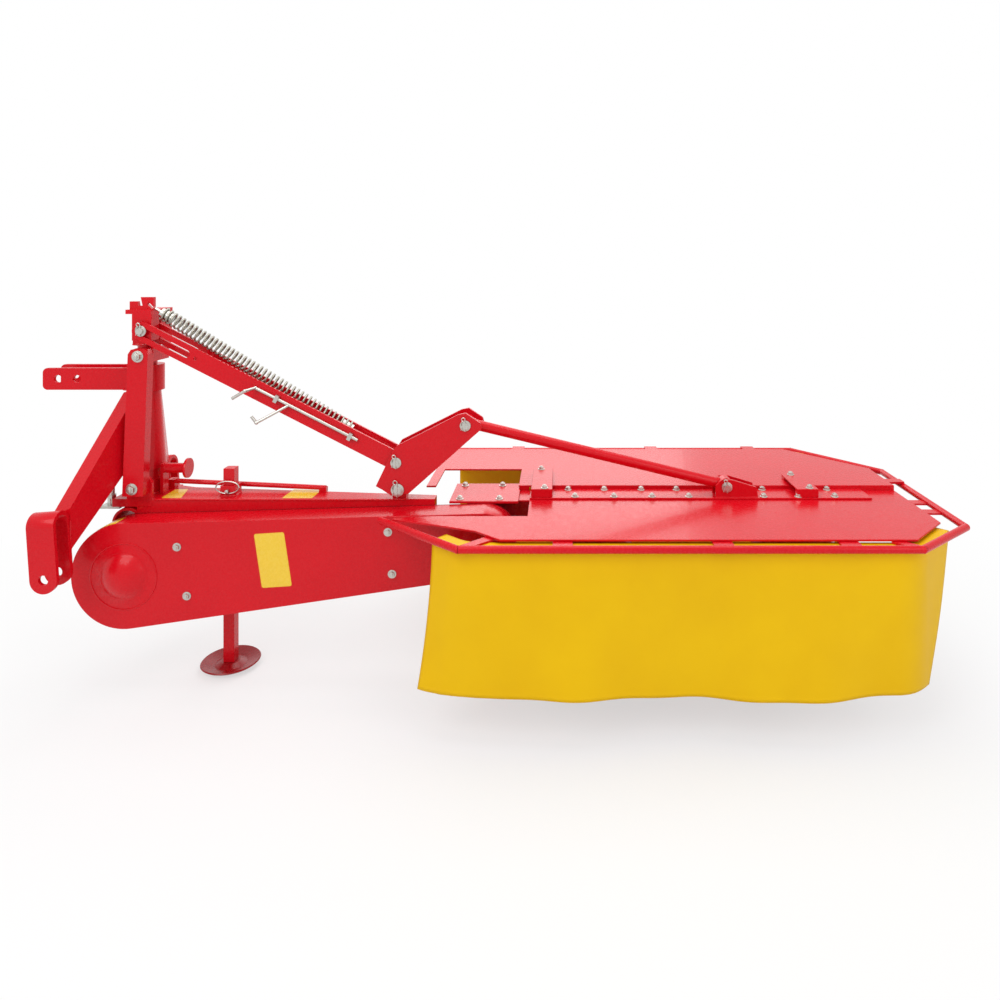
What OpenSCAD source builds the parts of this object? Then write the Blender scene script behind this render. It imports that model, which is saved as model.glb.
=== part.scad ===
// Rear-mounted two-drum rotary mower, parked with its hitch swung for transport.
// X runs outboard along the cutter, Y forward, Z up; the machine stands on z = 0.

/* [Hitch] */
// Distance between the two lower hitch brackets
hitch_spread = 640; // [560:1:683]
// Lower hitch pin bore
lower_bore = 29; // [22.5:0.1:30]
// Upper hitch pin bore
upper_bore = 26; // [19.5:0.1:27]
// Reach of the upper hitch plates ahead of the king pin
upper_reach = 319; // [280:1:360]
// Height of the upper hitch plates
upper_plate_h = 72; // [60:1:76]
// Gap between the upper hitch plates
upper_gap = 78; // [60:1:82]
// Thickness of the hitch plates and brackets
hitch_plate = 12; // [8:1:14]
// Width of a lower bracket
bracket_w = 80; // [70:1:88]
// Gap inside a lower bracket
bracket_gap = 50; // [44:1:56]
// Depth of a leg tube
leg_depth = 86; // [70:1:126]
// Width of a leg tube
leg_width = 54; // [40:1:58]
// Radius of the king pin
king_r = 30; // [24:1:32]

/* [Beam] */
// Height of the beam's top face
beam_top = 567; // [565:1:570]
// Depth of the beam
beam_depth = 140; // [110:1:150]
// Width of the beam at the king pin
beam_width = 160; // [140:1:164]
// Distance from king pin to the cutter hinge
hinge_x = 1155; // [1150:1:1160]
// Height of the cutter hinge
hinge_z = 455; // [452:1:458]
// Outside radius of the hinge trunnion
trunnion_r = 55; // [45:1:60]

/* [Belt drive] */
// Depth of the belt cover
cover_depth = 94; // [80:1:100]
// Radius of the cover over the driving pulley
cover_r1 = 164; // [150:1:168]
// Radius of the cover over the driven pulley
cover_r2 = 98; // [80:1:99]
// Sheet thickness of the cover
cover_wall = 4; // [3:0.5:6]
// Radius of the drive shaft in its bearing
drive_r = 25; // [20:1:28]
// Radius of the drive shaft's free end
stub_r = 17.4; // [15:0.1:19]

/* [Stand] */
// Side of the square stand leg
stand_side = 36; // [30:1:40]
// Radius of the stand foot
foot_r = 93; // [80:1:96]

/* [Lift linkage] */
// Half height of the lift arm plates
arm_half = 30; // [26:1:31]
// Gap between the lift arm plates
arm_gap = 56; // [54:1:58]
// Thickness of the lift arm plates
arm_plate = 8; // [6:1:8]
// Length of the float slot
slot_len = 162; // [120:1:170]
// Radius of the linkage pins
pin_r = 10; // [8:0.5:10.5]
// Thickness of the bell crank plates
crank_plate = 10; // [8:1:10]
// Outside radius of the tube link
link_r = 17; // [13:1:18]
// Mean radius of the float spring's coil
spring_r = 20.5; // [18:0.5:21]
// Wire radius of the float spring
wire_r = 3.4; // [2.5:0.1:3.5]
// Number of coils
coils = 46; // [30:1:50]

/* [Cutter] */
// Distance between the drum axes
drum_pitch = 675; // [672:1:690]
// Distance from the hinge to the inner drum
drum_offset = 342; // [340:1:350]
// Radius of the drum
drum_r = 135; // [120:1:140]
// Radius swept by the blade tips
tip_r = 330; // [320:1:333]
// Radius of a gliding saucer
saucer_r = 245; // [220:1:248]
// Thickness of the deck sheets
deck_sheet = 6; // [4:0.5:6]
// Radius of the guard rail tube
rail_r = 11; // [9:0.5:12]
// Thickness of the curtains
curtain_t = 5; // [3:0.5:6]
// Height of the curtains' lower edge
curtain_low = 131; // [100:1:200]

/* [Hidden] */
$fn = 64;
run_fit = 0.05;
seat_gap = 0.2;
end_round = 16;

// Upright levels of the cutter
case_top = 545;
case_low = 465;
hub_low = 430;
skirt_top = 210;
deck_top = case_top + deck_sheet;
centre_top = deck_top + deck_sheet;
far_low = case_top + 17;

// Plan of the guard rail, from the inner tip round to the far inner end
rail_path = [[840, -236], [1108, -468], [2390, -468], [2599, -296],
             [2599, 286], [2353, 606], [967, 606]];
rail_z = 545;

// Outer limits, which set the origin under the middle of the machine
x_left = -upper_reach;
rail_bend = rail_r + 0.3;
x_right = rail_path[3][0] + rail_bend;
y_near = rail_path[1][1] - rail_bend;
y_far = rail_path[5][1] + rail_bend;
shift = [-(x_left + x_right) / 2, -(y_near + y_far) / 2, 0];

// Side planes of the beam, its cover and the linkage
beam_near = -100;
beam_far = beam_near + beam_width;
beam_low = beam_top - beam_depth;
cover_back_y = beam_near - 6;
cover_near_y = cover_back_y - cover_depth;
arm_mid = -78;
crank_gap = arm_gap + 2 * arm_plate + 4;

// Linkage pivots in the X-Z plane
float_pt = [41, 1112];
crank_pt = [870, 604];
elbow_pt = [865, 691];
link_pt = [1087, 810];
lug_pt = [1942, 590];
lug_mid = -20;
hook_pt = [76, 1178];
coil_start = 20;
coil_end = 742;
spring_len = norm(elbow_pt - hook_pt);
coil_steps = 11;
plug_r = spring_r * cos(180 / coil_steps) - wire_r - 0.3;
arm_len = norm(elbow_pt - float_pt);
arm_tilt = atan2(elbow_pt[1] - float_pt[1], elbow_pt[0] - float_pt[0]);

// Brace channel and its two bolts
strap_deep = 36;
strap_bolts = [[25, 610], [44, 1033]];

// King pin, sleeve and head levels
boss_top = 614;
ring_top = 645;
sleeve_low = 646;
collar_low = 905;
collar_top = 991;
head_low = 1010;
block_low = 1060;
cap_low = 1166;
cap_top = 1180;

// Driving shaft and stand places
drive_x = 35;
drive_z = 358;
stand_x = 301;
stand_y = -45;
disc_r = tip_r - 38;
blade_len = 74;
drum_x = [hinge_x + drum_offset, hinge_x + drum_offset + drum_pitch];

// A flat plate drawn in X-Z and thickened from y0 towards +Y
module plate_xz(y0, t) {
    translate([0, y0 + t, 0])
        rotate([90, 0, 0])
            linear_extrude(t)
                children();
}

// A round bar along Y
module bar_y(p, y0, y1, r) {
    translate([p[0], y0, p[1]])
        rotate([-90, 0, 0])
            cylinder(h = y1 - y0, r = r);
}

// A round bar between two points, with rounded joints left to the caller
module bar(a, b, r) {
    d = b - a;
    translate(a)
        rotate([0, acos(d[2] / norm(d)), atan2(d[1], d[0])])
            cylinder(h = norm(d), r = r);
}

// Outline round two pulleys, with straight runs between them
module belt_outline(grow) {
    a = [drive_x, drive_z];
    b = [hinge_x, hinge_z];
    d = b - a;
    lean = atan2(d[1], d[0]);
    wrap = acos((cover_r1 - cover_r2) / norm(d));
    up = [cos(lean + wrap), sin(lean + wrap)];
    down = [cos(lean - wrap), sin(lean - wrap)];
    polygon([a + (cover_r1 + grow) * up, a + (cover_r1 + grow) * down,
             b + (cover_r2 + grow) * down, b + (cover_r2 + grow) * up]);
    translate(a) circle(r = cover_r1 + grow, $fn = 128);
    translate(b) circle(r = cover_r2 + grow, $fn = 96);
}

// A shallow pressed dome standing out of the cover's near face
module cover_dome(p, r, rise) {
    ball = (r * r + rise * rise) / (2 * rise);
    intersection() {
        translate([p[0], cover_near_y - rise + ball, p[1]]) sphere(r = ball, $fn = 96);
        bar_y(p, cover_near_y - 2 * rise, cover_near_y + cover_wall / 2, r);
    }
}

// Outside of the hitch sleeve as a solid of revolution, grown by a gap
module sleeve_body(gap) {
    rotate_extrude()
        polygon([[0, sleeve_low], [58 + gap, sleeve_low], [40 + gap, collar_low - gap],
                 [52 + gap, collar_low - gap], [52 + gap, collar_top], [0, collar_top]]);
}

module main_beam() color("firebrick") translate(shift) {
    difference() {
        union() {
            translate([0, 0, beam_low])
                linear_extrude(beam_depth)
                    polygon([[20, beam_near], [20, beam_far], [60, beam_far], [150, beam_far - 32],
                             [985, beam_near + 42], [985, beam_near]]);
            translate([-60, beam_near, beam_top - 26]) cube([150, beam_width, 26]);
            bar_y([-11, 488], beam_near, beam_far, 50);
            plate_xz(beam_near - 2, 12) polygon([[-12, beam_top - 24], [70, beam_top - 24], [70, 622],
                                                 [56, 640], [2, 640], [-12, 622]]);
            plate_xz(-98, 32) {
                polygon([[880, 400], [880, 475], [hinge_x, 475], [hinge_x, 400]]);
                translate([hinge_x, hinge_z]) circle(r = trunnion_r + 30);
            }
            plate_xz(beam_near, 40) {
                translate(crank_pt) circle(r = 22);
                translate([crank_pt[0] - 22, beam_top - 2]) square([44, crank_pt[1] - beam_top + 2]);
            }
        }
        bar_y([-11, 488], beam_near - 1, beam_far + 1, 41);
        bar_y([hinge_x, hinge_z], -110, -50, trunnion_r + run_fit);
        bar_y(crank_pt, beam_near - 1, -50, 12 + run_fit);
        bar_y(strap_bolts[0], -110, -80, 8);
        translate([stand_x - stand_side / 2 - 1, stand_y - stand_side / 2 - 1, beam_low - 1])
            cube([stand_side + 2, stand_side + 2, beam_depth + 2]);
    }
}

module king_pin() color("firebrick") translate(shift)
    rotate_extrude()
        polygon([[0, beam_top], [60, beam_top], [60, boss_top], [52, boss_top], [52, ring_top],
                 [king_r, ring_top], [king_r, head_low], [0, head_low]]);

module head() color("firebrick") translate(shift) {
    difference() {
        union() {
            translate([0, 0, head_low]) cylinder(h = block_low - head_low + 2, r = king_r);
            translate([14, -102, head_low + 2]) cube([58, 102, 42]);
            translate([-30, -36, block_low]) cube([94, 71, cap_low - block_low]);
            translate([5, -102, 1080]) cube([63, 48, cap_low - 1080]);
            translate([-16, -102, cap_low]) cube([82, 48, cap_top - cap_low]);
            translate([20, -56, cap_low]) cube([46, 91, cap_top - cap_low]);
            translate([-30, -36, cap_low]) cube([96, 71, cap_top - cap_low]);
            plate_xz(arm_mid - 7, 14) polygon([[-12, cap_top - 2], [-12, 1206], [14, 1206], [16, 1192],
                [30, 1192], [24, 1220], [66, 1220], [66, cap_top - 2]]);
        }
        bar_y(float_pt, -110, -45, pin_r + run_fit);
        plate_xz(arm_mid - 20, 40) translate([44, 1198]) rotate(-45) square([24, 8]);
        bar_y(strap_bolts[1], -110, -60, 8);
    }
}

// Folded channel from the beam to the mast head, open towards the beam
module brace_strap() color("indianred") translate(shift)
    difference() {
        plate_xz(-102 - strap_deep, strap_deep)
            polygon([[-6, 586], [60, 586], [76, 1040], [68, 1055], [22, 1055], [12, 1040]]);
        plate_xz(-96 - strap_deep, strap_deep)
            polygon([[1, 580], [53, 580], [69, 1038], [64, 1047], [26, 1047], [19, 1038]]);
        for (p = strap_bolts) bar_y(p, -103 - strap_deep, -95 - strap_deep, 8);
    }

module belt_cover() color("firebrick") translate(shift) {
    difference() {
        plate_xz(cover_near_y, cover_depth) belt_outline(0);
        plate_xz(cover_near_y + cover_wall, cover_depth) belt_outline(-cover_wall);
    }
    cover_dome([drive_x, drive_z], 102, 5);
    cover_dome([drive_x, drive_z], 74, 32);
    cover_dome([hinge_x, hinge_z], 70, 5);
}

module cover_back() color("firebrick") translate(shift)
    difference() {
        plate_xz(cover_back_y, 6) belt_outline(0);
        bar_y([hinge_x, hinge_z], cover_back_y - 1, beam_near + 1, trunnion_r + 4);
        bar_y([drive_x, drive_z], cover_back_y - 1, beam_near + 1, drive_r + 4);
    }

module drive_housing() color("firebrick") translate(shift)
    difference() {
        union() {
            bar_y([drive_x, drive_z], beam_near, 70, 55);
            for (y = [-80, 30])
                plate_xz(y, 14) polygon([[drive_x - 50, drive_z], [drive_x + 50, drive_z],
                                         [drive_x + 62, beam_low], [drive_x - 15, beam_low]]);
        }
        bar_y([drive_x, drive_z], beam_near - 1, 71, drive_r + run_fit);
    }

module drive_shaft() color("silver") translate(shift) {
    bar_y([drive_x, drive_z], beam_near - 30, 74, drive_r);
    bar_y([drive_x, drive_z], 73, 158, stub_r);
}

module tension_stud() color("silver") translate(shift) {
    translate([-104, -94, 533]) cube([64, 54, 8]);
    translate([-80, -67, 540]) cylinder(h = 22, r = 13);
    translate([-80, -67, 561]) cylinder(h = 12, r = 14, $fn = 6);
    translate([-80, -67, 572]) cylinder(h = 28, r = 8);
}

module stay_bar() color("firebrick") translate(shift) {
    bar([76, 18, 592], [608, -22, 580], 8);
    translate([66, 6, beam_top]) cube([22, 26, 32]);
    translate([588, -32, beam_top]) cube([24, 20, 16]);
}

module stand_socket() color("firebrick") translate(shift)
    difference() {
        translate([stand_x - 25, stand_y - 25, beam_top]) cube([50, 50, 33]);
        translate([stand_x - stand_side / 2 - 0.5, stand_y - stand_side / 2 - 0.5, beam_top - 1])
            cube([stand_side + 1, stand_side + 1, 40]);
    }

module rest_peg() color("firebrick") translate(shift) {
    translate([70, -52, beam_top]) cube([10, 34, 100]);
    translate([79, -35, 650]) rotate([0, 90, 0]) cylinder(h = 74, r = 16);
    translate([150, -35, 650]) rotate([0, 90, 0]) cylinder(h = 8, r = 32);
}

module float_pin() color("silver") translate(shift)
    bar_y(float_pt, -126, -37.5, pin_r);

module crank_pin() color("silver") translate(shift)
    bar_y(crank_pt, -134, -22, 12);

// Turns the children so that their +Z runs from the head hook to the elbow pin
module along_spring() {
    translate([hook_pt[0], arm_mid, hook_pt[1]])
        rotate([0, 90 - atan2(elbow_pt[1] - hook_pt[1], elbow_pt[0] - hook_pt[0]), 0])
            children();
}

// Tension spring swept along a helix
module float_spring() color("gainsboro") translate(shift) {
    sides = 6;
    steps = coil_steps;
    n = coils * steps;
    along_spring() {
            polyhedron(
                points = [for (i = [0 : n]) for (k = [0 : sides - 1])
                    let (turn = i * 360 / steps, rr = spring_r + wire_r * cos(k * 360 / sides))
                    [rr * cos(turn), rr * sin(turn), coil_start + (coil_end - coil_start) * i / n
                     + wire_r * sin(k * 360 / sides)]],
                faces = concat(
                    [[for (k = [0 : sides - 1]) k]],
                    [[for (k = [sides - 1 : -1 : 0]) n * sides + k]],
                    [for (i = [0 : n - 1]) for (k = [0 : sides - 1])
                        [i * sides + k, (i + 1) * sides + k,
                         (i + 1) * sides + (k + 1) % sides, i * sides + (k + 1) % sides]]),
                convexity = 10);
        }
}

// Screwed-in end plug of the spring with the rod that hooks on the head
module spring_hook() color("gainsboro") translate(shift)
    along_spring() {
        translate([0, 0, coil_start - 4]) cylinder(h = 40, r = plug_r);
        translate([0, 0, -8.6]) cylinder(h = coil_start + 8.6, r = 4.5);
    }

// Screwed-in end plug with the tail rod and its eye on the elbow pin
module spring_tail() color("gainsboro") translate(shift)
    along_spring()
        difference() {
            union() {
                translate([0, 0, coil_end - 36]) cylinder(h = 40, r = plug_r);
                translate([0, 0, coil_end]) cylinder(h = spring_len - coil_end, r = 5);
                translate([0, 9, spring_len]) rotate([90, 0, 0]) cylinder(h = 18, r = 18);
            }
            translate([0, 12, spring_len]) rotate([90, 0, 0]) cylinder(h = 24, r = pin_r + run_fit);
        }

module hitch_sleeve() color("firebrick") translate(shift)
    difference() {
        sleeve_body(0);
        translate([0, 0, sleeve_low - 1]) cylinder(h = collar_top - sleeve_low + 2, r = king_r + run_fit);
    }

// One leg of the hitch frame; side is -1 near the viewer and 1 on the far side
module leg(side) {
    a = [0, side * 12, 850];
    b = [-112, side * 300, 500];
    d = b - a;
    inner_face = hitch_spread / 2 - bracket_gap / 2 - hitch_plate;
    difference() {
        translate(a)
            rotate([0, acos(d[2] / norm(d)), atan2(d[1], d[0])])
                translate([-leg_depth / 2, -leg_width / 2, 0])
                    cube([leg_depth, leg_width, norm(d) + 80]);
        sleeve_body(2 * seat_gap);
        translate([-400, side > 0 ? inner_face : -inner_face - 400, 200]) cube([800, 400, 800]);
        translate([-400, side > 0 ? -400 : 0, 200]) cube([800, 400, 900]);
    }
}

module near_leg() color("firebrick") translate(shift) leg(-1);
module far_leg() color("firebrick") translate(shift) leg(1);

// Folded strap that takes a lower hitch pin
module bracket(side) {
    half = bracket_gap / 2 + hitch_plate;
    pin_at = [-107, 412];
    rise = 150;
    translate([pin_at[0], side * hitch_spread / 2, pin_at[1]])
        rotate([0, -4, 0])
            difference() {
                union() {
                    for (y = [-half, bracket_gap / 2])
                        plate_xz(y, hitch_plate) {
                            circle(r = bracket_w / 2);
                            translate([-bracket_w / 2, 0]) square([bracket_w, rise]);
                        }
                    intersection() {
                        translate([-bracket_w / 2, 0, rise]) rotate([0, 90, 0])
                            difference() {
                                cylinder(h = bracket_w, r = half);
                                translate([0, 0, -1]) cylinder(h = bracket_w + 2, r = bracket_gap / 2);
                            }
                        translate([-bracket_w, -half - 1, rise])
                            cube([2 * bracket_w, 2 * half + 2, half + 1]);
                    }
                }
                bar_y([0, 0], -half - 1, half + 1, lower_bore / 2);
            }
}

module near_bracket() color("firebrick") translate(shift) bracket(-1);
module far_bracket() color("firebrick") translate(shift) bracket(1);

module upper_plates() color("firebrick") translate(shift)
    difference() {
        for (y = [-upper_gap / 2 - hitch_plate, upper_gap / 2])
            plate_xz(y, hitch_plate)
                difference() {
                    union() {
                        translate([-upper_reach, 948 - upper_plate_h / 2 + end_round])
                            square([2 * end_round, upper_plate_h - 2 * end_round]);
                        translate([end_round - upper_reach, 948 - upper_plate_h / 2])
                            square([upper_reach - end_round, upper_plate_h]);
                        for (k = [-1, 1])
                            translate([end_round - upper_reach, 948 + k * (upper_plate_h / 2 - end_round)])
                                circle(r = end_round);
                    }
                    for (x = [50, 113]) translate([x - upper_reach, 948]) circle(r = upper_bore / 2);
                }
        sleeve_body(seat_gap);
    }

module stand_leg() color("firebrick") translate(shift)
    translate([stand_x - stand_side / 2, stand_y - stand_side / 2, 18])
        cube([stand_side, stand_side, 637]);

module stand_foot() color("firebrick") translate(shift)
    translate([stand_x, stand_y, 0])
        rotate_extrude()
            polygon([[0, 0], [52, 0], [foot_r - 6, 12], [foot_r, 17], [foot_r - 3, 20], [50, 9],
                     [30, 18], [0, 18]]);

// Outline of a bell crank plate
module crank_outline() {
    difference() {
        polygon([[800, 616], [852, 724], [866, 745], [1064, 845], [1088, 850], [1134, 819],
                 [1140, 800], [905, 592],
                 [850, 585], [822, 604]]);
        translate(crank_pt) circle(r = 12 + run_fit);
        translate(elbow_pt) circle(r = pin_r + run_fit);
        translate(link_pt) circle(r = pin_r + run_fit);
    }
}

module crank_plates() color("crimson") translate(shift)
    for (y = [arm_mid - crank_gap / 2 - crank_plate, arm_mid + crank_gap / 2])
        plate_xz(y, crank_plate) crank_outline();

module elbow_pin() color("silver") translate(shift)
    bar_y(elbow_pt, -134, -22, pin_r);

module link_pin() color("silver") translate(shift)
    bar_y(link_pt, -134, -22, pin_r);

module arm_plates() color("crimson") translate(shift) {
    for (y = [arm_mid - arm_gap / 2 - arm_plate, arm_mid + arm_gap / 2])
        plate_xz(y, arm_plate)
            translate(float_pt)
                rotate(arm_tilt)
                    difference() {
                        union() {
                            circle(r = arm_half);
                            translate([arm_len, 0]) circle(r = arm_half);
                            translate([0, -arm_half]) square([arm_len, 2 * arm_half]);
                        }
                        circle(r = pin_r + 3);
                        translate([slot_len, 0]) circle(r = pin_r + 3);
                        translate([0, -pin_r - 3]) square([slot_len, 2 * pin_r + 6]);
                        translate([slot_len + 34, 0]) circle(r = 6);
                        translate([arm_len, 0]) circle(r = pin_r + run_fit);
                    }
    for (s = [[250, 0], [700, -21]])
        translate([float_pt[0], 0, float_pt[1]])
            rotate([0, -arm_tilt, 0])
                bar_y(s, arm_mid - arm_gap / 2 - 1, arm_mid + arm_gap / 2 + 1, 7);
}

// Bent locking rod held along the near arm plate
module latch_rod() color("gainsboro") translate(shift) {
    y = arm_mid - arm_gap / 2 - arm_plate - 6.3;
    route = [[352, y - 34, 902], [392, y - 34, 926], [412, y, 930], [740, y, 762]];
    hook = [[520, y, 874.7], [430, y - 36, 826], [414, y - 36, 846]];
    for (i = [0 : 2]) bar(route[i], route[i + 1], 5);
    for (i = [1 : 2]) translate(route[i]) sphere(r = 6);
    for (i = [0 : 1]) bar(hook[i], hook[i + 1], 4.6);
    translate(hook[1]) sphere(r = 6);
    for (p = [[480, 895.2], [716, 774.3]])
        translate([p[0], y - 8, p[1]]) rotate([0, -arm_tilt, 0]) translate([-6, 0, -12])
            cube([12, 14.1, 24]);
}

module tube_link() color("firebrick") translate(shift) {
    a = [link_pt[0], arm_mid, link_pt[1]];
    b = [lug_pt[0], lug_mid, lug_pt[1]];
    along = (b - a) / norm(b - a);
    difference() {
        union() {
            bar(a + 20 * along, b - 20 * along, link_r);
            bar_y(link_pt, arm_mid - 34, arm_mid + 34, 22);
            bar_y(lug_pt, lug_mid - 19, lug_mid + 19, 26);
        }
        bar_y(link_pt, arm_mid - 40, arm_mid + 40, pin_r + run_fit);
        bar_y(lug_pt, lug_mid - 30, lug_mid + 30, pin_r + 5);
    }
}

module gearcase() color("firebrick") translate(shift)
    difference() {
        union() {
            translate([1085, -60, case_low]) cube([drum_x[1] + 120 - 1085, 120, case_top - case_low]);
            translate([1085, -60, 395]) cube([140, 120, case_low - 395 + 1]);
            for (x = drum_x) translate([x, 0, hub_low]) cylinder(h = case_low - hub_low + 1, r = 72);
        }
        for (x = drum_x) translate([x, 0, hub_low - 1]) cylinder(h = 90, r = 30 + run_fit);
    }

module hinge_trunnion() color("silver") translate(shift)
    bar_y([hinge_x, hinge_z], cover_back_y - 4, -60, trunnion_r);

module near_deck() color("crimson") translate(shift)
    translate([0, 0, case_top])
        linear_extrude(deck_sheet)
            polygon([[880, -244], [1018, -292], [1143, -342], [1220, -410], [2402, -410], [2537, -270],
                     [2537, 44], [1085, 44], [1085, -62], [1290, -62], [1290, -214], [1000, -214],
                     [880, -230]]);

module far_deck() color("crimson") translate(shift) {
    translate([0, 0, far_low])
        linear_extrude(deck_sheet)
            polygon([[933, 540], [933, 39], [966, 39], [966, 244], [1249, 244], [1249, 44], [2537, 44],
                     [2537, 257], [2300, 540]]);
    translate([1290, 44, case_top]) cube([2537 - 1290, deck_sheet, far_low - case_top + 1]);
    translate([1255, 44, case_top]) cube([30, deck_sheet, far_low - case_top + 1]);
}

module centre_plate() color("crimson") translate(shift)
    translate([1290, -57, deck_top]) cube([1130, 101, deck_sheet]);

module inner_plate() color("crimson") translate(shift)
    translate([1031, -98, deck_top]) cube([224, 194, 8]);

// Pressed straps over the deck joint
module strap(x, y0, y1) {
    plate_h = far_low + deck_sheet;
    translate([x - 35, y0, plate_h + 10]) cube([70, y1 - y0, 6]);
    translate([x - 35, y1 - 30, plate_h]) cube([70, 30, 11]);
    translate([x - 35, y0, centre_top]) cube([70, 26, plate_h + 11 - centre_top]);
}

module deck_straps() color("crimson") translate(shift) {
    strap(1330, -52, 200);
    strap(2210, -52, 130);
}

module guard_rail() color("crimson") translate(shift) {
    last = len(rail_path) - 1;
    for (i = [0 : last - 1])
        bar([rail_path[i][0], rail_path[i][1], rail_z],
            [rail_path[i + 1][0], rail_path[i + 1][1], rail_z], rail_r);
    for (i = [1 : last - 1])
        translate([rail_path[i][0], rail_path[i][1], rail_z]) sphere(r = rail_bend);
    for (x = [1398, 1849, 2206]) translate([x - 28, -470, case_top - 6]) cube([56, 100, 6]);
    for (y = [-153, -60]) translate([2500, y - 18, case_top - 6]) cube([100, 36, 6]);
    translate([2500, 105, far_low - 8]) cube([100, 36, 8]);
    for (x = [1218, 1767, 2169]) translate([x - 25, 500, far_low - 8]) cube([50, 107, 8]);
    translate([1120, -470, case_top - 6]) rotate([0, 0, 45]) cube([130, 30, 6]);
    translate([2402, -462, case_top - 6]) rotate([0, 0, 135]) translate([0, -15, 0]) cube([90, 30, 6]);
}

module link_bracket() color("firebrick") translate(shift)
    for (y = [lug_mid - 31, lug_mid + 22])
        plate_xz(y, 9)
            difference() {
                polygon([[1905, centre_top], [1905, 596], [1924, 614], [1960, 614], [2040, 590],
                         [2046, centre_top]]);
                translate(lug_pt) circle(r = pin_r + run_fit);
            }

module lug_pin() color("silver") translate(shift)
    bar_y(lug_pt, lug_mid - 40, lug_mid + 40, pin_r);

module near_curtain() color("gold") translate(shift)
    translate([0, 0, curtain_low])
        linear_extrude(case_top - 6.3 - curtain_low)
            polygon([[1024, -373], [1112, -450], [2386, -450], [2544, -303],
                     [2540, -299], [2384, -450 + curtain_t], [1114, -450 + curtain_t], [1027.5, -369]]);

module far_curtain() color("gold") translate(shift)
    translate([0, 0, curtain_low])
        linear_extrude(far_low - 8.3 - curtain_low)
            polygon([[975, 588], [2338, 588], [2538, 330], [2533.6, 327], [2335.6, 588 - curtain_t],
                     [975, 588 - curtain_t]]);

// One drum with its shaft
module drum(x) {
    translate([x, 0, 0])
        rotate_extrude($fn = 96)
            polygon([[0, 30], [30, 30], [30, 418], [drum_r - 6, 418], [drum_r - 6, skirt_top],
                     [drum_r, skirt_top],
                     [drum_r, 424], [30, 424], [30, 515], [0, 515]]);
}

// The flared skirt and cutting disc under a drum
module disc(x) {
    translate([x, 0, 0])
        rotate_extrude($fn = 96)
            polygon([[drum_r - 6, skirt_top - 6], [disc_r - 56, 92], [disc_r, 92], [disc_r, 100],
                     [disc_r - 52, 104],
                     [drum_r, skirt_top], [drum_r - 6, skirt_top]]);
}

module inner_drum() color("firebrick") translate(shift) drum(drum_x[0]);
module outer_drum() color("firebrick") translate(shift) drum(drum_x[1]);
module inner_disc() color("firebrick") translate(shift) disc(drum_x[0]);
module outer_disc() color("firebrick") translate(shift) disc(drum_x[1]);

// Three swinging blades under one disc
module blades(x, phase) {
    translate([x, 0, 86])
        for (k = [0 : 2])
            rotate([0, 0, phase + 120 * k])
                translate([tip_r - blade_len - 4, -23, 0]) cube([blade_len, 46, 6 - seat_gap]);
}

module inner_blades() color("gray") translate(shift) blades(drum_x[0], 0);
module outer_blades() color("gray") translate(shift) blades(drum_x[1], 60);

// A gliding saucer that turns freely on the foot of a drum shaft
module saucer(x) {
    translate([x, 0, 0])
        rotate_extrude($fn = 96)
            polygon([[0, 0], [130, 0], [200, 22], [saucer_r, 60], [saucer_r - 4, 66], [196, 30],
                     [128, 8], [52, 8],
                     [52, 78], [30 + run_fit, 78], [30 + run_fit, 29.7], [0, 29.7]]);
}

module inner_saucer() color("firebrick") translate(shift) saucer(drum_x[0]);
module outer_saucer() color("firebrick") translate(shift) saucer(drum_x[1]);

main_beam();
king_pin();
head();
brace_strap();
belt_cover();
cover_back();
drive_housing();
tension_stud();
stay_bar();
stand_socket();
rest_peg();
float_pin();
crank_pin();
float_spring();
spring_hook();
spring_tail();
hitch_sleeve();
near_leg();
far_leg();
near_bracket();
far_bracket();
upper_plates();
stand_leg();
stand_foot();
crank_plates();
elbow_pin();
link_pin();
arm_plates();
latch_rod();
tube_link();
gearcase();
hinge_trunnion();
near_deck();
far_deck();
centre_plate();
inner_plate();
deck_straps();
guard_rail();
link_bracket();
lug_pin();
near_curtain();
far_curtain();
inner_drum();
outer_drum();
inner_disc();
outer_disc();
inner_blades();
outer_blades();
inner_saucer();
outer_saucer();
drive_shaft();
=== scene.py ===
"""Looks of a parked two-drum mower: paint, plating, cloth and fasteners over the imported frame."""

import logging
import math
from dataclasses import dataclass
from enum import Enum
from typing import Callable, Sequence

import bmesh
import bpy
from mathutils import Matrix, Vector


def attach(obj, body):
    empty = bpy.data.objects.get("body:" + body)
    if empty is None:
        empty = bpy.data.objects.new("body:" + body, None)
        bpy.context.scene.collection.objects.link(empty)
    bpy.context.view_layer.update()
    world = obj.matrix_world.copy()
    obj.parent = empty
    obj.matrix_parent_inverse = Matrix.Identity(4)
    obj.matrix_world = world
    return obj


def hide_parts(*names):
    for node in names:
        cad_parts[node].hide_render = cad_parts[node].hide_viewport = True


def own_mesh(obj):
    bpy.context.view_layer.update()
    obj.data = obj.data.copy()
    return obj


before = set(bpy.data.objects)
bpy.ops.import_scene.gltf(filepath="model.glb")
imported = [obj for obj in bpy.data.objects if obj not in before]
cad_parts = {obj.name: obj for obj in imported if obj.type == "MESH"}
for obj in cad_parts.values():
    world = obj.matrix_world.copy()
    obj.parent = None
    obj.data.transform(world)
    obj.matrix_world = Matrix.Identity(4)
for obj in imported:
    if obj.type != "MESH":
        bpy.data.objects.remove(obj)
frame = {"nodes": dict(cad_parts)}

Place = tuple[float, float, float]
Flat = tuple[float, float]
Rings = tuple[tuple[float, float], ...]

LOG = logging.getLogger("mower")
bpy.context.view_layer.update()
SHIFT = Vector((-1.14565, -0.069, 0.0))
NEAR = Vector((0.0, -1.0, 0.0))
UP = Vector((0.0, 0.0, 1.0))


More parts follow.
